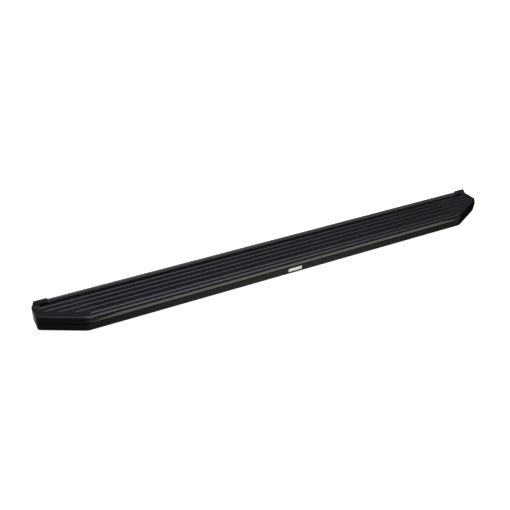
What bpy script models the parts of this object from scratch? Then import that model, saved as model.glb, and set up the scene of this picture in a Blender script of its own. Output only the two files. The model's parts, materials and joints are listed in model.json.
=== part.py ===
"""Fixed running board for a pick-up truck: a hollow aluminium deck with two moulded end caps.

The board lies along X. The vehicle is behind it, towards +Y, and the floor it rests on is Z = 0.
"""

import math

import bmesh
import bpy
from mathutils import Matrix, Vector

# Driving dimensions, in metres.
BOARD_LENGTH = 2.007
BOARD_WIDTH = 0.168
DECK_LENGTH = 1.644
SEAL_LENGTH = 1.884
RIM_HEIGHT = 0.0575
GAP = 0.0003  # left between pieces that touch

HALF_LENGTH = BOARD_LENGTH / 2
HALF_WIDTH = BOARD_WIDTH / 2
SEAM_X = DECK_LENGTH / 2
STOP_X = SEAL_LENGTH / 2

# Tread: low round ridges that stand on a flat floor, as (centre, width) in Y.
RIDGE_HEIGHT = 0.002
FLOOR_HEIGHT = RIM_HEIGHT - RIDGE_HEIGHT
RIDGES = (
    (0.0583, 0.0096),
    (0.0322, 0.0096),
    (0.0056, 0.0096),
    (-0.0224, 0.0096),
    (-0.0505, 0.0160),
)
RIDGE_STEPS = 8
CREST_DROP = 0.0001  # how much lower the ridges are on the end caps
NOSE_BACK = -0.0675  # where the nose ridge starts, behind the front rim
NOSE_TOP_Y = -0.0700
NOSE_RADIUS, NOSE_SLOPE = 0.024, math.radians(26)
NOSE_EDGE_RADIUS = 0.0030
NOSE_STEPS = 6
BORDER = 0.040  # smooth border of an end cap, from its outline to the tread
REAR_CHANNEL_Y = 0.0730  # rear edge of the tread, at the foot of the seal

# Front: nose, accent strip, groove and tapered fascia, as (inset from the front plane, height).
RIM_INSET = 0.0080
VALLEY_INSET, VALLEY_HEIGHT = 0.0040, 0.0492
STRIP_TOP_INSET, STRIP_TOP = 0.0036, 0.0446
STRIP_BOTTOM = 0.0350
STRIP_THICKNESS = 0.0022
STRIP_TAPER = 0.090  # length over which the strip narrows at each end
STRIP_TIP = 0.0018  # height left at its tips
GROOVE_INSET, GROOVE_TOP, GROOVE_BOTTOM = 0.0028, 0.0336, 0.0314
FASCIA_FOOT_INSET = 0.0055
FASCIA_WALL = 0.0028
FOOT_RETURN = 0.0075

# Deck box and its T-slots.
WALL = 0.0025
BOX_BOTTOM = 0.028
REAR_Y = 0.082
SLOT_Y = 0.038
SLOT_RECESS = 0.0010  # how far the slot lips are set back from the faces that brackets sit on
SLOT_RECESS_WIDTH = 0.0210
SLOT_MOUTH = 0.0088
SLOT_LIP = 0.0030
SLOT_WIDTH = 0.0144
SLOT_HEIGHT = 0.0085
LIP_BOTTOM = BOX_BOTTOM + SLOT_RECESS

# Rear flange that the seal grips, and the seal.
FLANGE_Y = (0.0776, 0.0801)
FLANGE_TOP = 0.0620
SEAL_TOP = 0.0710
SEAL_FRONT, SEAL_TOP_FRONT = 0.0732, 0.0816
SEAL_SHOULDER = 0.0030  # upright part of the front, below the bulge
SEAL_STEPS = 7

# End caps.
CHAMFER_END_Y = 0.0015
CHAMFER_START_X = 0.847
END_SHARE = 0.15  # how much the end face is set back for each unit that the chamfer is
END_CORNER_RADIUS = 0.020
CAP_WALL = 0.0030
CAP_STOP_TOP = 0.0760
TONGUE_LENGTH = 0.045
TONGUE_HEIGHT = 0.012
CORNER_STEPS = 7

# Fasteners.
SCREW_X = SEAM_X - 0.022
SCREW_RADIUS = 0.0024
SCREW_HEAD_RADIUS = 0.0048
SCREW_LENGTH = 0.0150
BOLT_STATIONS = (-0.550, 0.0, 0.550)
BOLT_RADIUS = 0.0040
BOLT_FLATS = 0.0130
BOLT_HEAD = 0.0053
BOLT_END = 0.0040
WASHER_RADIUS, WASHER_THICKNESS = 0.0085, 0.0016
NUT_HEIGHT = 0.0065
ROUND_SIDES = 16

# Name plate in the middle of the fascia.
PLATE_LENGTH, PLATE_HEIGHT, PLATE_THICKNESS = 0.060, 0.016, 0.0007
PLATE_CENTRE = 0.018

MODEL = bpy.data.collections.new("running_board")
CUTTERS = bpy.data.collections.new("cutters")


def clear_scene():
    for obj in list(bpy.data.objects):
        bpy.data.objects.remove(obj, do_unlink=True)
    bpy.context.scene.collection.children.link(MODEL)
    bpy.context.scene.collection.children.link(CUTTERS)


def material(name, colour, roughness, metallic=0.0):
    made = bpy.data.materials.new(name)
    made.use_nodes = True
    shader = made.node_tree.nodes["Principled BSDF"]
    shader.inputs["Base Color"].default_value = (*colour, 1.0)
    shader.inputs["Roughness"].default_value = roughness
    shader.inputs["Metallic"].default_value = metallic
    return made


def add_object(name, data, paint, collection=MODEL):
    obj = bpy.data.objects.new(name, data)
    collection.objects.link(obj)
    if paint is not None:
        obj.data.materials.append(paint)
    if collection is CUTTERS:
        obj.hide_render = True
        obj.display_type = "WIRE"
    return obj


def rounded(corners, steps=4):
    """An outline from (u, v, radius) corners, with each corner turned into an arc."""
    points = []
    count = len(corners)
    for i, (u, v, radius) in enumerate(corners):
        here = Vector((u, v))
        if radius <= 0:
            points.append(here)
            continue
        back = (Vector(corners[i - 1][:2]) - here).normalized()
        ahead = (Vector(corners[(i + 1) % count][:2]) - here).normalized()
        half = back.angle(ahead) / 2
        reach = radius / math.tan(half)
        centre = here + (back + ahead).normalized() * radius / math.sin(half)
        start = here + back * reach - centre
        turn = start.angle_signed(here + ahead * reach - centre)
        for k in range(steps + 1):
            arm = start.copy()
            arm.rotate(Matrix.Rotation(-turn * k / steps, 2))
            points.append(centre + arm)
    return points


def sweep(name, outline, x0, x1, collection=CUTTERS, paint=None):
    """A solid of constant section along X, from one outline of (Y, Z) points."""
    bm = bmesh.new()
    near = [bm.verts.new((x0, y, z)) for y, z in outline]
    far = [bm.verts.new((x1, y, z)) for y, z in outline]
    for i in range(len(outline)):
        j = (i + 1) % len(outline)
        bm.faces.new((near[i], near[j], far[j], far[i]))
    bm.faces.new(reversed(near))
    bm.faces.new(far)
    bmesh.ops.recalc_face_normals(bm, faces=bm.faces)
    return from_bmesh(name, bm, collection, paint)


def shade(obj):
    obj.data.shade_smooth()
    obj.data.set_sharp_from_angle(angle=math.radians(32))


def box(name, low, high, collection=CUTTERS):
    bm = bmesh.new()
    bmesh.ops.create_cube(bm, size=1)
    low, high = Vector(low), Vector(high)
    size, middle = high - low, (high + low) / 2
    bmesh.ops.transform(bm, verts=bm.verts, matrix=Matrix.Translation(middle) @ Matrix.Diagonal((*size, 1)))
    return from_bmesh(name, bm, collection)


def prism(name, sides, radius, low, high, collection=CUTTERS):
    """An upright prism or cylinder centred on the Z axis."""
    bm = bmesh.new()
    bmesh.ops.create_cone(
        bm, cap_ends=True, segments=sides, radius1=radius, radius2=radius, depth=high - low
    )
    bmesh.ops.translate(bm, verts=bm.verts, vec=(0, 0, (low + high) / 2))
    return from_bmesh(name, bm, collection)


def from_bmesh(name, bm, collection, paint=None):
    mesh = bpy.data.meshes.new(name)
    bm.to_mesh(mesh)
    bm.free()
    return add_object(name, mesh, paint, collection)


def combine(obj, operation, others):
    """Adds or cuts the other objects, and applies the result to the mesh."""
    for other in others:
        modifier = obj.modifiers.new(operation.lower(), "BOOLEAN")
        modifier.operation = operation
        modifier.object = other
    bpy.context.view_layer.update()
    evaluated = obj.evaluated_get(bpy.context.evaluated_depsgraph_get())
    mesh = bpy.data.meshes.new_from_object(evaluated)
    obj.modifiers.clear()
    old, obj.data = obj.data, mesh
    bpy.data.meshes.remove(old)
    mesh.name = obj.name
    for other in others:
        bpy.data.objects.remove(other)
    shade(obj)


# ---------------------------------------------------------------- deck and its trims


def front_line(inset):
    return -HALF_WIDTH + inset


def ridge_arc(rear, front):
    """A ridge's round crest between two feet on the floor, walked from rear to front."""
    half = (rear - front) / 2
    radius = (half * half + RIDGE_HEIGHT * RIDGE_HEIGHT) / (2 * RIDGE_HEIGHT)
    sweep_angle = math.asin(half / radius)
    points = []
    for k in range(RIDGE_STEPS + 1):
        angle = sweep_angle * (1 - 2 * k / RIDGE_STEPS)
        y = (rear + front) / 2 + radius * math.sin(angle)
        points.append((y, RIM_HEIGHT - radius + radius * math.cos(angle), 0))
    return points


def nose_arc():
    """The nose ridge from its top forwards: a wide, gently falling arc, then a tight one down to upright."""
    points = []
    for k in range(NOSE_STEPS + 1):
        angle = NOSE_SLOPE * k / NOSE_STEPS
        y = NOSE_TOP_Y - NOSE_RADIUS * math.sin(angle)
        points.append((y, RIM_HEIGHT - NOSE_RADIUS * (1 - math.cos(angle))))
    centre_y = points[-1][0] + NOSE_EDGE_RADIUS * math.sin(NOSE_SLOPE)
    centre_z = points[-1][1] - NOSE_EDGE_RADIUS * math.cos(NOSE_SLOPE)
    for k in range(1, NOSE_STEPS + 1):
        angle = NOSE_SLOPE + (math.pi / 2 - NOSE_SLOPE) * k / NOSE_STEPS
        y = centre_y - NOSE_EDGE_RADIUS * math.sin(angle)
        points.append((y, centre_z + NOSE_EDGE_RADIUS * math.cos(angle)))
    return points


def tread_outline():
    """The deck's top from the rear flange to the nose, as rounded corners."""
    corners = []
    for centre, width in RIDGES:
        corners += ridge_arc(centre + width / 2, centre - width / 2)
    corners += [(NOSE_BACK, FLOOR_HEIGHT, 0.0006), (NOSE_BACK - 0.0009, RIM_HEIGHT - 0.0003, 0.0008)]
    corners += [(y, z, 0) for y, z in nose_arc()]
    corners += [
        (nose_arc()[-1][0], VALLEY_HEIGHT + 0.0006, 0.0004),
        (front_line(VALLEY_INSET), VALLEY_HEIGHT, 0.0004),
        (front_line(STRIP_TOP_INSET), STRIP_TOP, 0),
        (front_line(0.0), STRIP_BOTTOM, 0),
    ]
    return corners


def slot_outline(centre):
    """The T-slot's mouth and cavity, walked from front to rear."""
    recess, mouth, wide = SLOT_RECESS_WIDTH / 2, SLOT_MOUTH / 2, SLOT_WIDTH / 2
    lip_top = LIP_BOTTOM + SLOT_LIP
    top = lip_top + SLOT_HEIGHT
    return [
        (centre - recess, BOX_BOTTOM, 0.0003),
        (centre - recess, LIP_BOTTOM, 0.0003),
        (centre - mouth, LIP_BOTTOM, 0.0004),
        (centre - mouth, lip_top, 0.0004),
        (centre - wide, lip_top, 0.0006),
        (centre - wide, top, 0.0010),
        (centre + wide, top, 0.0010),
        (centre + wide, lip_top, 0.0006),
        (centre + mouth, lip_top, 0.0004),
        (centre + mouth, LIP_BOTTOM, 0.0004),
        (centre + recess, LIP_BOTTOM, 0.0003),
        (centre + recess, BOX_BOTTOM, 0.0003),
    ]


def deck_outline():
    flange_back, flange_front = FLANGE_Y[1], FLANGE_Y[0]
    corners = [
        (REAR_Y, BOX_BOTTOM, 0.0015),
        (REAR_Y, FLOOR_HEIGHT, 0.0006),
        (flange_back, FLOOR_HEIGHT, 0),
        (flange_back, FLANGE_TOP, 0.0008),
        (flange_front, FLANGE_TOP, 0.0008),
        (flange_front, FLOOR_HEIGHT, 0.0005),
    ]
    corners += tread_outline()
    corners += [
        (front_line(0.0), GROOVE_TOP + 0.0002, 0),
        (front_line(GROOVE_INSET), GROOVE_TOP, 0),
        (front_line(GROOVE_INSET), GROOVE_BOTTOM + 0.0006, 0),
        (front_line(0.0), GROOVE_BOTTOM - 0.0004, 0.0006),
        (front_line(FASCIA_FOOT_INSET), 0.0, 0.0010),
        (front_line(FASCIA_FOOT_INSET + FOOT_RETURN), 0.0, 0.0008),
        (front_line(FASCIA_FOOT_INSET + FOOT_RETURN), FASCIA_WALL, 0.0008),
        (front_line(FASCIA_FOOT_INSET + FASCIA_WALL), FASCIA_WALL, 0.0010),
        (front_line(FASCIA_WALL + 0.0006), BOX_BOTTOM, 0.0015),
    ]
    corners += slot_outline(-SLOT_Y)
    corners += slot_outline(SLOT_Y)
    return rounded(corners, steps=3)


def chambers():
    """(front, rear, bottom, top) of each hollow in the deck, front to rear."""
    low, high = BOX_BOTTOM + WALL, FLOOR_HEIGHT - WALL
    slot_side = SLOT_WIDTH / 2 + WALL
    slot_roof = LIP_BOTTOM + SLOT_LIP + SLOT_HEIGHT + WALL
    return {
        "front": (front_line(0.0098), -SLOT_Y - slot_side, low, high - 0.0045),
        "over_front_slot": (-SLOT_Y - slot_side + WALL, -SLOT_Y + slot_side - WALL, slot_roof, high),
        "middle_front": (-SLOT_Y + slot_side, -WALL / 2, low, high),
        "middle_rear": (WALL / 2, SLOT_Y - slot_side, low, high),
        "over_rear_slot": (SLOT_Y - slot_side + WALL, SLOT_Y + slot_side - WALL, slot_roof, high),
        "rear": (SLOT_Y + slot_side, REAR_Y - WALL, low, high),
    }


TONGUE_CHAMBERS = ("front", "middle_front", "middle_rear", "rear")


def screw_rows():
    """The Y of the cap screws: the middle of the front and of the rear chamber."""
    rooms = chambers()
    return {name: (rooms[name][0] + rooms[name][1]) / 2 for name in ("front", "rear")}


def make_deck(paint):
    deck = sweep("deck_extrusion", deck_outline(), -SEAM_X, SEAM_X, MODEL, paint)
    cuts = []
    for y0, y1, z0, z1 in chambers().values():
        room = rounded([(y0, z0, 0.001), (y1, z0, 0.001), (y1, z1, 0.001), (y0, z1, 0.001)], 2)
        cuts.append(sweep("chamber", room, -SEAM_X - 0.01, SEAM_X + 0.01))
    for x in (-SCREW_X, SCREW_X):
        for y in screw_rows().values():
            low, high = BOX_BOTTOM - 0.002, BOX_BOTTOM + WALL + 0.002
            hole = prism("screw_hole", ROUND_SIDES, SCREW_RADIUS + 0.0004, low, high)
            hole.location = (x, y, 0)
            cuts.append(hole)
    cuts.append(strip_body("strip_seat", GAP, CUTTERS))
    combine(deck, "DIFFERENCE", cuts)


def strip_body(name, clearance, collection, paint=None):
    """The trim along the shoulder, facing forwards and up. With a clearance, it is the seat cut for it."""
    lean = Vector((STRIP_TOP_INSET, STRIP_TOP - STRIP_BOTTOM)).normalized()
    inward = Vector((lean.y, -lean.x))
    outside = inward * (-0.002 if clearance else 0)
    depth = inward * (STRIP_THICKNESS + clearance)
    foot = Vector((front_line(0.0), STRIP_BOTTOM)) + lean * (0.0004 - clearance)
    top = Vector((front_line(STRIP_TOP_INSET), STRIP_TOP)) + lean * clearance
    section = [foot + outside, top + outside, top + depth, foot + depth]
    length = SEAM_X + (0.01 if clearance else 0)
    body = sweep(name, [tuple(p) for p in section], -length, length, collection, paint)
    tapers = []
    for side in (-1, 1):
        fall = (STRIP_TOP - STRIP_BOTTOM - STRIP_TIP) / STRIP_TAPER
        wedge = [
            (side * (SEAM_X - STRIP_TAPER), STRIP_TOP + clearance),
            (side * (SEAM_X + 0.02), STRIP_BOTTOM + STRIP_TIP + clearance - 0.02 * fall),
            (side * (SEAM_X + 0.02), STRIP_TOP + 0.01),
            (side * (SEAM_X - STRIP_TAPER), STRIP_TOP + 0.01),
        ]
        tapers.append(across("taper", wedge))
    combine(body, "DIFFERENCE", tapers)
    return body


def make_accent_strip(paint):
    return strip_body("accent_strip", 0.0, MODEL, paint)


def lip_front(front, foot, top_front, top):
    """The bulging front of the rear lip, from its foot to its top edge."""
    points = [(front, foot)]
    rise = foot + SEAL_SHOULDER
    for k in range(SEAL_STEPS + 1):
        angle = math.pi / 2 * k / SEAL_STEPS
        y = front + (top_front - front) * (1 - math.cos(angle))
        points.append((y, rise + (top - rise) * math.sin(angle)))
    return points


def make_seal(paint):
    """Rubber lip seal, pushed on to the rear flange and running on to both end caps."""
    foot = FLOOR_HEIGHT + GAP
    grip_front, grip_back = FLANGE_Y[0] - GAP, FLANGE_Y[1] + GAP
    corners = [(y, z, 0) for y, z in lip_front(SEAL_FRONT, foot, SEAL_TOP_FRONT, SEAL_TOP)]
    corners += [
        (HALF_WIDTH, SEAL_TOP, 0.0012),
        (HALF_WIDTH, foot, 0.0006),
        (grip_back, foot, 0),
        (grip_back, FLANGE_TOP + GAP, 0.0004),
        (grip_front, FLANGE_TOP + GAP, 0.0004),
        (grip_front, foot, 0),
    ]
    sweep("rear_seal", rounded(corners), -STOP_X, STOP_X, MODEL, paint)


# ---------------------------------------------------------------- end caps


def meet(point_a, direction_a, point_b, direction_b):
    """Where two lines in plan cross."""
    cross = direction_a.x * direction_b.y - direction_a.y * direction_b.x
    gap = point_b - point_a
    reach = (gap.x * direction_b.y - gap.y * direction_b.x) / cross
    return point_a + direction_a * reach


def cap_plan(front, side, end_share=END_SHARE):
    """Plan corners of the right cap: its front line, and its chamfer and end lines, moved inwards."""
    start = Vector((CHAMFER_START_X, -HALF_WIDTH))
    end = Vector((HALF_LENGTH, CHAMFER_END_Y))
    along = (end - start).normalized()
    inward = Vector((-along.y, along.x))
    shifted = start + inward * side
    front_corner = meet(Vector((0, -HALF_WIDTH + front)), Vector((1, 0)), shifted, along)
    end_line = Vector((HALF_LENGTH - side * end_share, 0))
    end_corner = meet(end_line, Vector((0, 1)), shifted, along)
    return front_corner, end_corner


def cap_outline(front, side, seam_x, rear_y, end_share):
    front_corner, end_corner = cap_plan(front, side, end_share)
    corners = [
        (seam_x, -HALF_WIDTH + front, 0),
        (*front_corner, max(0.050 - side, 0.02)),
        (*end_corner, max(END_CORNER_RADIUS - side, 0.010)),
        (HALF_LENGTH - side * end_share, rear_y, max(0.008 - side, 0.002)),
        (seam_x, rear_y, 0),
    ]
    return rounded(corners, steps=CORNER_STEPS)


def cap_loft(name, levels, seam_x, rear_y, end_share=END_SHARE):
    """A closed solid through plan outlines, from (height, front inset, side inset), bottom first."""
    bm = bmesh.new()
    loops = []
    for height, front, side in levels:
        outline = cap_outline(front, side, seam_x, rear_y, end_share)
        loops.append([bm.verts.new((p.x, p.y, height)) for p in outline])
    for lower, upper in zip(loops, loops[1:]):
        for i in range(len(lower)):
            j = (i + 1) % len(lower)
            bm.faces.new((lower[i], lower[j], upper[j], upper[i]))
    bm.faces.new(reversed(loops[0]))
    bm.faces.new(loops[-1])
    bmesh.ops.recalc_face_normals(bm, faces=bm.faces)
    return from_bmesh(name, bm, CUTTERS)


def upright(name, outline, low, high):
    """A solid of constant plan, from one outline of (X, Y) points."""
    bm = bmesh.new()
    lower = [bm.verts.new((x, y, low)) for x, y in outline]
    upper = [bm.verts.new((x, y, high)) for x, y in outline]
    for i in range(len(outline)):
        j = (i + 1) % len(outline)
        bm.faces.new((lower[i], lower[j], upper[j], upper[i]))
    bm.faces.new(reversed(lower))
    bm.faces.new(upper)
    bmesh.ops.recalc_face_normals(bm, faces=bm.faces)
    return from_bmesh(name, bm, CUTTERS)


def across(name, outline, reach=0.1):
    """A solid that runs through the board from front to rear, from one outline of (X, Z) points."""
    bm = bmesh.new()
    front = [bm.verts.new((x, -reach, z)) for x, z in outline]
    back = [bm.verts.new((x, reach, z)) for x, z in outline]
    for i in range(len(outline)):
        j = (i + 1) % len(outline)
        bm.faces.new((front[i], front[j], back[j], back[i]))
    bm.faces.new(reversed(front))
    bm.faces.new(back)
    bmesh.ops.recalc_face_normals(bm, faces=bm.faces)
    return from_bmesh(name, bm, CUTTERS)


def tread_cutter():
    """Cuts the deck's tread into the cap's top, as far as the cap's smooth border."""
    back = SEAM_X - 0.01
    high = RIM_HEIGHT + 0.01
    section = [(REAR_CHANNEL_Y, high), (REAR_CHANNEL_Y, FLOOR_HEIGHT)]
    for centre, width in RIDGES:
        arc = ridge_arc(centre + width / 2, centre - width / 2)
        section += [(y, max(z - CREST_DROP, FLOOR_HEIGHT)) for y, z, _ in arc]
    section += [(NOSE_BACK, FLOOR_HEIGHT), (NOSE_BACK, high)]
    cutter = sweep("tread", section, back, HALF_LENGTH)

    slope_start, slope_end = cap_plan(BORDER, BORDER)
    along = (slope_end - slope_start).normalized()
    on_nose = slope_start + along * (NOSE_BACK - slope_start.y) / along.y
    plan = rounded(
        [
            (back - 0.01, NOSE_BACK - 0.01, 0),
            (on_nose.x, NOSE_BACK - 0.01, 0),
            (*on_nose, 0.012),
            (*slope_end, 0.020),
            (HALF_LENGTH - BORDER, REAR_CHANNEL_Y + 0.01, 0),
            (back - 0.01, REAR_CHANNEL_Y + 0.01, 0),
        ],
        steps=CORNER_STEPS,
    )
    combine(cutter, "INTERSECT", [upright("plan", plan, FLOOR_HEIGHT - 0.01, high + 0.01)])
    return cutter


def make_stop():
    """The raised block that ends the seal: a lip with a swept foot, and an outer face that leans inwards."""
    outline = [
        (0.0680, FLOOR_HEIGHT - 0.0015),
        (0.0680, RIM_HEIGHT + 0.0001),
        (0.0700, RIM_HEIGHT + 0.0012),
        (0.0716, RIM_HEIGHT + 0.0032),
        (0.0728, RIM_HEIGHT + 0.0060),
        (0.0740, RIM_HEIGHT + 0.0095),
        (0.0753, RIM_HEIGHT + 0.0135),
        (0.0772, RIM_HEIGHT + 0.0165),
        (0.0792, CAP_STOP_TOP - 0.0007),
        (0.0808, CAP_STOP_TOP),
        (HALF_WIDTH - 0.0012, CAP_STOP_TOP),
        (HALF_WIDTH - 0.0003, CAP_STOP_TOP - 0.0004),
        (HALF_WIDTH, CAP_STOP_TOP - 0.0013),
        (HALF_WIDTH, FLOOR_HEIGHT - 0.006),
        (REAR_Y - 0.001, FLOOR_HEIGHT - 0.008),
    ]
    stop = sweep("stop", outline, STOP_X + GAP, HALF_LENGTH + 0.01)
    low, high = FLOOR_HEIGHT - 0.010, CAP_STOP_TOP + 0.002
    lean = [
        (HALF_LENGTH - 0.0125, high),
        (HALF_LENGTH + 0.02, high),
        (HALF_LENGTH + 0.02, low),
        (HALF_LENGTH - 0.0052, low),
        (HALF_LENGTH - 0.0054, RIM_HEIGHT + 0.0006),
    ]
    combine(stop, "DIFFERENCE", [across("lean", lean)])
    return stop


def make_right_cap(paint):
    """A moulded shell, open underneath, with tongues that plug into the deck's chambers."""
    seam = SEAM_X + GAP
    outer = [
        (0.0, FASCIA_FOOT_INSET + 0.0006, 0.0064),
        (0.0008, FASCIA_FOOT_INSET, 0.0056),
        (GROOVE_BOTTOM - 0.0030, 0.0004, 0.0010),
        (GROOVE_BOTTOM - 0.0004, 0.0002, 0.0010),
        (GROOVE_BOTTOM + 0.0006, GROOVE_INSET, 0.0040),
        (GROOVE_TOP, GROOVE_INSET, 0.0040),
        (GROOVE_TOP + 0.0010, 0.0, 0.0),
        (STRIP_BOTTOM, 0.0, 0.0),
        (STRIP_TOP, STRIP_TOP_INSET, 0.0022),
        (VALLEY_HEIGHT, VALLEY_INSET, 0.0030),
        (RIM_HEIGHT - 0.0058, 0.0012, 0.0036),
        (RIM_HEIGHT - 0.0035, 0.0018, 0.0043),
        (RIM_HEIGHT - 0.0016, 0.0051, 0.0059),
        (RIM_HEIGHT - 0.0004, 0.0095, 0.0080),
        (RIM_HEIGHT, 0.0140, 0.0104),
    ]
    inner = [
        (-0.001, FASCIA_FOOT_INSET + CAP_WALL, 0.0066 + CAP_WALL),
        (STRIP_BOTTOM, GROOVE_INSET + CAP_WALL, 0.0040 + CAP_WALL),
        (FLOOR_HEIGHT - CAP_WALL, RIM_INSET + CAP_WALL, RIM_INSET + CAP_WALL),
    ]
    cap = cap_loft("end_cap_right", outer, seam, REAR_Y)
    CUTTERS.objects.unlink(cap)
    MODEL.objects.link(cap)
    cap.hide_render = False
    cap.display_type = "TEXTURED"
    cap.data.materials.append(paint)
    hollow = cap_loft("hollow", inner, seam - 0.01, REAR_Y - CAP_WALL, 1.0)
    combine(cap, "DIFFERENCE", [hollow])

    rooms = chambers()
    clearance = 0.0004
    added = [
        box(
            "bulkhead",
            (seam, rooms["front"][0], BOX_BOTTOM),
            (seam + CAP_WALL, REAR_Y - CAP_WALL / 2, FLOOR_HEIGHT - CAP_WALL / 2),
        ),
        box(
            "flange",
            (seam, FLANGE_Y[0], FLOOR_HEIGHT - 0.002),
            (STOP_X + 0.004, FLANGE_Y[1], FLANGE_TOP),
        ),
        make_stop(),
    ]
    for name in TONGUE_CHAMBERS:
        y0, y1, z0, _ = rooms[name]
        added.append(
            box(
                "tongue",
                (seam - TONGUE_LENGTH, y0 + clearance, z0 + clearance),
                (seam + CAP_WALL / 2, y1 - clearance, z0 + TONGUE_HEIGHT),
            )
        )
    combine(cap, "UNION", added)

    cuts = [tread_cutter()]
    # The seal runs over the cap in a rebate at floor height, up to the stop, on either side of the flange.
    rebate_end = STOP_X + GAP
    for y0, y1 in ((REAR_CHANNEL_Y - 0.004, FLANGE_Y[0]), (FLANGE_Y[1], HALF_WIDTH + 0.01)):
        cuts.append(box("rebate", (seam - 0.01, y0, FLOOR_HEIGHT), (rebate_end, y1, CAP_STOP_TOP)))
    for y in screw_rows().values():
        low, high = BOX_BOTTOM - 0.002, BOX_BOTTOM + SCREW_LENGTH + 0.002
        pilot = prism("pilot", ROUND_SIDES, SCREW_RADIUS + GAP, low, high)
        pilot.location = (SCREW_X, y, 0)
        cuts.append(pilot)
    for cutter in cuts:
        cutter.hide_render = True
    combine(cap, "DIFFERENCE", cuts)
    return cap


def make_left_cap(right_cap):
    mesh = right_cap.data.copy()
    mesh.name = "end_cap_left"
    mesh.transform(Matrix.Diagonal((-1, 1, 1, 1)))
    mesh.flip_normals()
    return add_object("end_cap_left", mesh, None)


# ---------------------------------------------------------------- fasteners and plate


def turned(name, profile, paint, sides=ROUND_SIDES):
    """A solid of revolution about Z. The profile runs from the top of the axis down to its foot."""
    mesh = bpy.data.meshes.new(name)
    mesh.from_pydata([(r, 0, z) for r, z in profile], [(i, i + 1) for i in range(len(profile) - 1)], [])
    obj = add_object(name, mesh, paint)
    screw = obj.modifiers.new("turn", "SCREW")
    screw.steps = screw.render_steps = sides
    screw.use_merge_vertices = True
    screw.merge_threshold = 0.00001
    screw.use_smooth_shade = False
    return obj


def make_cap_screws(paint):
    """Pan-head screws, driven up through the deck's floor into the tongues."""
    top = BOX_BOTTOM - GAP
    reach = BOX_BOTTOM + SCREW_LENGTH
    profile = [
        (0, reach),
        (SCREW_RADIUS * 0.55, reach - 0.0012),
        (SCREW_RADIUS, reach - 0.0030),
        (SCREW_RADIUS, top),
        (SCREW_HEAD_RADIUS, top),
        (SCREW_HEAD_RADIUS, top - 0.0014),
        (SCREW_HEAD_RADIUS * 0.72, top - 0.0026),
        (0.0016, top - 0.0028),
        (0.0012, top - 0.0014),
        (0, top - 0.0014),
    ]
    for side, x in (("left", -SCREW_X), ("right", SCREW_X)):
        for row, y in screw_rows().items():
            screw = turned(f"cap_screw_{row}_{side}", profile, paint, sides=12)
            screw.location = (x, y, 0)


def hexagon_radius(flats):
    return flats / 2 / math.cos(math.pi / 6)


def make_slot_bolt(name, x, y, paint):
    """A hex bolt whose head is captive in the T-slot, flats along the slot."""
    head_foot = LIP_BOTTOM + SLOT_LIP + GAP
    bolt = prism(name, 6, hexagon_radius(BOLT_FLATS), head_foot, head_foot + BOLT_HEAD, MODEL)
    bolt.data.transform(Matrix.Rotation(math.pi / 6, 4, "Z"))
    shank = prism("shank", ROUND_SIDES, BOLT_RADIUS, BOLT_END, head_foot + BOLT_HEAD / 2)
    bolt.data.materials.append(paint)
    combine(bolt, "UNION", [shank])
    bolt.location = (x, y, 0)


def make_slot_washer(name, x, y, paint):
    top = LIP_BOTTOM - GAP
    washer = prism(name, ROUND_SIDES, WASHER_RADIUS, top - WASHER_THICKNESS, top, MODEL)
    hole = prism("hole", ROUND_SIDES, BOLT_RADIUS + GAP, top - 0.01, top + 0.01)
    washer.data.materials.append(paint)
    combine(washer, "DIFFERENCE", [hole])
    washer.location = (x, y, 0)


def make_slot_nut(name, x, y, paint):
    top = LIP_BOTTOM - 2 * GAP - WASHER_THICKNESS
    nut = prism(name, 6, hexagon_radius(BOLT_FLATS), top - NUT_HEIGHT, top, MODEL)
    hole = prism("hole", ROUND_SIDES, BOLT_RADIUS + GAP, top - 0.02, top + 0.01)
    nut.data.materials.append(paint)
    combine(nut, "DIFFERENCE", [hole])
    nut.location = (x, y, 0)


def make_name_plate(paint):
    """A blank plate bonded to the middle of the fascia, lying in its slope."""
    slope = Vector((FASCIA_FOOT_INSET, -GROOVE_BOTTOM)).normalized()
    outward = Vector((slope.y, -slope.x))
    on_face = Vector((front_line(FASCIA_FOOT_INSET * (1 - PLATE_CENTRE / GROOVE_BOTTOM)), PLATE_CENTRE))
    near = on_face + outward * GAP
    far = near + outward * PLATE_THICKNESS
    half = slope * PLATE_HEIGHT / 2
    corners = [
        (*(near - half), 0),
        (*(far - half), 0.0005),
        (*(far + half), 0.0005),
        (*(near + half), 0),
    ]
    sweep("name_plate", rounded(corners), -PLATE_LENGTH / 2, PLATE_LENGTH / 2, MODEL, paint)


def main():
    clear_scene()
    deck_paint = material("black_powder_coat", (0.012, 0.012, 0.014), 0.42)
    strip_paint = material("satin_black_trim", (0.030, 0.030, 0.030), 0.30)
    cap_paint = material("black_moulded_plastic", (0.012, 0.012, 0.012), 0.50)
    rubber = material("seal_rubber", (0.020, 0.020, 0.020), 0.70)
    zinc = material("zinc_plated_steel", (0.45, 0.45, 0.43), 0.35, 1.0)
    black_steel = material("black_oxide_steel", (0.020, 0.020, 0.020), 0.45, 1.0)
    plate = material("satin_silver_plate", (0.70, 0.70, 0.70), 0.30, 1.0)

    make_deck(deck_paint)
    make_accent_strip(strip_paint)
    make_seal(rubber)
    make_left_cap(make_right_cap(cap_paint))
    make_cap_screws(black_steel)
    for station, x in zip(("left", "middle", "right"), BOLT_STATIONS):
        for row, y in (("front", -SLOT_Y), ("rear", SLOT_Y)):
            make_slot_bolt(f"slot_bolt_{row}_{station}", x, y, zinc)
            make_slot_washer(f"slot_washer_{row}_{station}", x, y, zinc)
            make_slot_nut(f"slot_nut_{row}_{station}", x, y, zinc)
    make_name_plate(plate)


main()
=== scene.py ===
"""Looks of the running board: materials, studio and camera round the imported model."""

import json
import math

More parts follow.
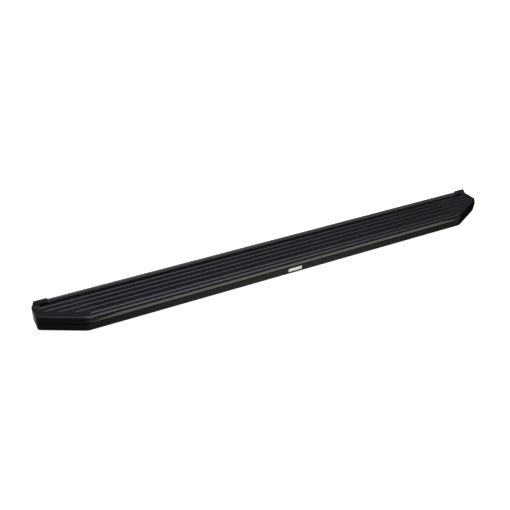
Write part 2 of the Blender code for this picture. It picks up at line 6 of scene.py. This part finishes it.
import bpy
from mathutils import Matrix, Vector

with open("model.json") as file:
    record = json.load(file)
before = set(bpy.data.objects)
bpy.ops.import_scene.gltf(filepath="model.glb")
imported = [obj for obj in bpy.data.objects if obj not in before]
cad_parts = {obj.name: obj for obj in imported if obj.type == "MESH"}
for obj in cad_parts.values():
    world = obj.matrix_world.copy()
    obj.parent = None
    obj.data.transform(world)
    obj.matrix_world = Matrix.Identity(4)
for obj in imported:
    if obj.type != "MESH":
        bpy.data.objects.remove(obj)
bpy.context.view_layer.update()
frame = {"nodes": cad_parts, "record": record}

CAMERA_PLACE = Vector((-1.2981, -2.2325, 1.5926))
CAMERA_TARGET = Vector((-0.1378, 0.0, 0.0763))
LENS_MM = 52.44
SENSOR_MM = 36.0
WHITE = (1.0, 1.0, 1.0, 1.0)
NOISE_RANGE = (0.3, 0.7)  # the values that a noise texture mostly takes
SHARP_ANGLE = math.radians(32)  # edges that bend more than this are shaded sharp

FLOOR_REACH = 30.0  # from the origin to the floor's edges, in metres
FLOOR_COLOUR = 0.92
FLOOR_GLOW = 0.8

# Soft patches of studio light: direction, inner and outer angle in degrees, strength, tint.
SKY_PATCHES = (
    ((0.00, 0.00, 1.00), 75.0, 95.0, 0.09, (1.00, 1.00, 1.04)),  # even fill over the whole sky
    ((0.16, 0.16, 1.00), 9.0, 34.0, 4.20, (1.02, 0.98, 1.16)),  # overhead softbox: the tread
    ((0.42, -0.90, 0.10), 8.0, 24.0, 1.40, (1.00, 1.00, 0.93)),  # low front card: the accent strip
    ((0.15, -0.62, -0.75), 20.0, 55.0, 0.22, (1.00, 1.00, 0.74)),  # below, in front: the fascia
    ((0.39, -0.52, -0.75), 6.0, 13.0, 0.55, (1.00, 1.00, 1.00)),  # small card below, in front: the plate
    ((0.00, 0.95, -0.30), 15.0, 45.0, 0.45, (1.00, 1.00, 0.96)),  # low behind: the rear faces
    ((-0.95, 0.00, -0.30), 12.0, 38.0, 0.35, (1.00, 1.00, 0.96)),  # low to the left: the left end
    ((0.00, -1.00, 0.35), 30.0, 75.0, 0.18, (1.00, 1.00, 1.04)),  # front fill
)


def build_camera():
    data = bpy.data.cameras.new("camera")
    data.lens = LENS_MM
    data.sensor_width = SENSOR_MM
    camera = bpy.data.objects.new("camera", data)
    bpy.context.scene.collection.objects.link(camera)
    camera.location = CAMERA_PLACE
    camera.rotation_euler = (CAMERA_TARGET - CAMERA_PLACE).to_track_quat("-Z", "Y").to_euler()
    bpy.context.scene.camera = camera


class Nodes:
    """A material's node tree, with short calls to add and join its nodes."""

    def __init__(self, name):
        self.material = bpy.data.materials.new(name)
        self.material.use_nodes = True
        self.tree = self.material.node_tree
        self.shader = self.tree.nodes["Principled BSDF"]

    def add(self, kind, settings=None, **inputs):
        node = self.tree.nodes.new(kind)
        for key, value in (settings or {}).items():
            setattr(node, key, value)
        for key, value in inputs.items():
            self.put(node.inputs[key.replace("_", " ")], value)
        return node

    def put(self, socket, value):
        if isinstance(value, bpy.types.NodeSocket):
            self.tree.links.new(value, socket)
        else:
            socket.default_value = value

    def set(self, **inputs):
        for key, value in inputs.items():
            self.put(self.shader.inputs[key.replace("_", " ")], value)

    def place(self):
        return self.add("ShaderNodeTexCoord").outputs["Object"]

    def noise(self, vector, scale, detail=2.0, roughness=0.5):
        """A grain with about this many cells to a metre, or to a unit of a stretched vector."""
        settings = {"Scale": scale, "Detail": detail, "Roughness": roughness}
        return self.add("ShaderNodeTexNoise", Vector=vector, **settings).outputs["Fac"]

    def stretch(self, vector, scale):
        node = self.add("ShaderNodeMapping", Vector=vector, Scale=scale)
        return node.outputs["Vector"]

    def ramp(self, noise, *colours):
        """Blends two colours, the first where a noise is low and the second where it is high."""
        node = self.add("ShaderNodeValToRGB", Fac=noise)
        for element, position, colour in zip(node.color_ramp.elements, NOISE_RANGE, colours):
            element.position = position
            element.color = (*colour, 1.0)
        return node.outputs["Color"]

    def fit(self, noise, low, high):
        """Makes a noise run from low to high."""
        ends = {"From_Min": NOISE_RANGE[0], "From_Max": NOISE_RANGE[1], "To_Min": low, "To_Max": high}
        return self.add("ShaderNodeMapRange", Value=noise, **ends).outputs["Result"]

    def bump(self, height, distance, strength=1.0, normal=None):
        node = self.add("ShaderNodeBump", Height=height, Distance=distance, Strength=strength)
        if normal is not None:
            self.put(node.inputs["Normal"], normal)
        return node.outputs["Normal"]


def grey(value):
    return (value, value, value)


def powder_coat():
    """Fine-textured black powder coat on the extruded deck."""
    look = Nodes("powder_coat")
    at = look.place()
    grain = look.noise(at, scale=900.0, detail=3.0, roughness=0.6)
    cloud = look.noise(at, scale=9.0, detail=3.0)
    look.set(
        Base_Color=look.ramp(cloud, (0.0042, 0.0041, 0.0048), (0.0062, 0.0060, 0.0070)),
        Roughness=look.fit(grain, 0.22, 0.32),
        Specular_IOR_Level=0.28,
        Normal=look.bump(grain, distance=0.00008, strength=0.35),
    )
    return look.material


def moulded_plastic():
    """Leather-grained black plastic of the end caps."""
    look = Nodes("moulded_plastic")
    at = look.place()
    cells = look.add("ShaderNodeTexVoronoi", {"feature": "SMOOTH_F1"}, Vector=at, Scale=620.0)
    grain = look.noise(at, scale=1400.0, detail=2.0)
    cloud = look.noise(at, scale=14.0, detail=3.0)
    fine = look.bump(grain, distance=0.00004, strength=0.35)
    look.set(
        Base_Color=look.ramp(cloud, (0.0066, 0.0065, 0.0072), (0.0090, 0.0088, 0.0098)),
        Roughness=look.fit(grain, 0.26, 0.36),
        Specular_IOR_Level=0.26,
        Normal=look.bump(cells.outputs["Distance"], distance=0.00010, strength=0.35, normal=fine),
    )
    return look.material


def satin_trim():
    """Brushed, dark-anodised accent strip."""
    look = Nodes("satin_trim")
    at = look.place()
    brushed = look.noise(look.stretch(at, (6.0, 900.0, 900.0)), scale=1.0, detail=3.0)
    look.set(
        Base_Color=look.ramp(brushed, grey(0.070), grey(0.090)),
        Roughness=look.fit(brushed, 0.22, 0.30),
        Metallic=1.0,
        Normal=look.bump(brushed, distance=0.00002, strength=0.3),
    )
    return look.material


def seal_rubber():
    """Slightly glossy black rubber of the rear lip."""
    look = Nodes("seal_rubber")
    at = look.place()
    grain = look.noise(at, scale=1100.0, detail=3.0)
    look.set(
        Base_Color=look.ramp(look.noise(at, scale=11.0), grey(0.0085), grey(0.0115)),
        Roughness=look.fit(grain, 0.30, 0.42),
        Specular_IOR_Level=0.80,
        Normal=look.bump(grain, distance=0.00005, strength=0.5),
    )
    return look.material


def zinc():
    """Zinc plating with a faint spangle."""
    look = Nodes("zinc")
    at = look.place()
    spangle = look.noise(at, scale=260.0, detail=4.0)
    look.set(
        Base_Color=look.ramp(spangle, (0.42, 0.43, 0.44), (0.58, 0.58, 0.56)),
        Roughness=look.fit(spangle, 0.26, 0.42),
        Metallic=1.0,
        Normal=look.bump(spangle, distance=0.00004, strength=0.4),
    )
    return look.material


def black_oxide():
    """Mottled black oxide on steel."""
    look = Nodes("black_oxide")
    at = look.place()
    mottle = look.noise(at, scale=420.0, detail=3.0)
    look.set(
        Base_Color=look.ramp(mottle, grey(0.022), grey(0.040)),
        Roughness=look.fit(mottle, 0.38, 0.52),
        Metallic=0.9,
        Normal=look.bump(mottle, distance=0.00003, strength=0.4),
    )
    return look.material


def silver_plate():
    """Brushed bright metal of the plate on the fascia."""
    look = Nodes("silver_plate")
    at = look.place()
    brushed = look.noise(look.stretch(at, (12.0, 1500.0, 1500.0)), scale=1.0, detail=3.0)
    look.set(
        Base_Color=look.ramp(brushed, grey(0.88), grey(0.95)),
        Roughness=look.fit(brushed, 0.12, 0.18),
        Metallic=1.0,
        Normal=look.bump(brushed, distance=0.00002, strength=0.3),
    )
    return look.material


def dress_nodes():
    """Gives every CAD node the material of its slot, and smooth shading between its sharp edges."""
    made = {
        "black_powder_coat": powder_coat(),
        "satin_black_trim": satin_trim(),
        "black_moulded_plastic": moulded_plastic(),
        "seal_rubber": seal_rubber(),
        "zinc_plated_steel": zinc(),
        "black_oxide_steel": black_oxide(),
        "satin_silver_plate": silver_plate(),
    }
    slots = {part["node"]: part["material_slot"] for part in frame["record"]["subparts"]}
    for name, node in frame["nodes"].items():
        node.data.materials.clear()
        node.data.materials.append(made[slots[name]])
        node.data.shade_smooth()
        node.data.set_sharp_from_angle(angle=SHARP_ANGLE)


def sky_patch(tree, place, towards, inner, outer, strength, tint):
    """One patch's light by direction: full inside its inner angle, and none past its outer angle."""
    dot = tree.nodes.new("ShaderNodeVectorMath")
    dot.operation = "DOT_PRODUCT"
    tree.links.new(place, dot.inputs[0])
    dot.inputs[1].default_value = Vector(towards).normalized()
    fade = tree.nodes.new("ShaderNodeMapRange")
    fade.interpolation_type = "SMOOTHSTEP"
    tree.links.new(dot.outputs["Value"], fade.inputs["Value"])
    fade.inputs["From Min"].default_value = math.cos(math.radians(outer))
    fade.inputs["From Max"].default_value = math.cos(math.radians(inner))
    fade.inputs["To Max"].default_value = strength
    light = tree.nodes.new("ShaderNodeVectorMath")
    light.operation = "SCALE"
    light.inputs[0].default_value = tint
    tree.links.new(fade.outputs["Result"], light.inputs["Scale"])
    return light.outputs["Vector"]


def build_floor():
    """A white floor that lights nothing, with a glow of its own that keeps the contact shadow faint."""
    look = Nodes("floor")
    look.set(
        Base_Color=(*grey(FLOOR_COLOUR), 1.0),
        Roughness=0.9,
        Specular_IOR_Level=0.0,
        Emission_Color=WHITE,
        Emission_Strength=FLOOR_GLOW,
    )
    mesh = bpy.data.meshes.new("floor")
    corners = [(x * FLOOR_REACH, y * FLOOR_REACH, 0) for x, y in ((-1, -1), (1, -1), (1, 1), (-1, 1))]
    mesh.from_pydata(corners, [], [(0, 1, 2, 3)])
    mesh.materials.append(look.material)
    floor = bpy.data.objects.new("floor", mesh)
    floor.visible_glossy = False
    floor.visible_diffuse = False
    bpy.context.scene.collection.objects.link(floor)


def build_sky():
    """The patches light the board, and the camera sees a plain white backdrop in their place."""
    world = bpy.data.worlds.new("studio")
    world.use_nodes = True
    tree = world.node_tree
    place = tree.nodes.new("ShaderNodeTexCoord").outputs["Generated"]
    total = None
    for patch in SKY_PATCHES:
        light = sky_patch(tree, place, *patch)
        if total is not None:
            add = tree.nodes.new("ShaderNodeVectorMath")
            add.operation = "ADD"
            tree.links.new(total, add.inputs[0])
            tree.links.new(light, add.inputs[1])
            light = add.outputs["Vector"]
        total = light
    tree.links.new(total, tree.nodes["Background"].inputs["Color"])
    backdrop = tree.nodes.new("ShaderNodeBackground")
    backdrop.inputs["Color"].default_value = WHITE
    mix = tree.nodes.new("ShaderNodeMixShader")
    tree.links.new(tree.nodes.new("ShaderNodeLightPath").outputs["Is Camera Ray"], mix.inputs["Fac"])
    tree.links.new(tree.nodes["Background"].outputs["Background"], mix.inputs[1])
    tree.links.new(backdrop.outputs["Background"], mix.inputs[2])
    tree.links.new(mix.outputs["Shader"], tree.nodes["World Output"].inputs["Surface"])
    bpy.context.scene.world = world
    bpy.context.scene.view_settings.view_transform = "Standard"


build_camera()
dress_nodes()
build_floor()
build_sky()
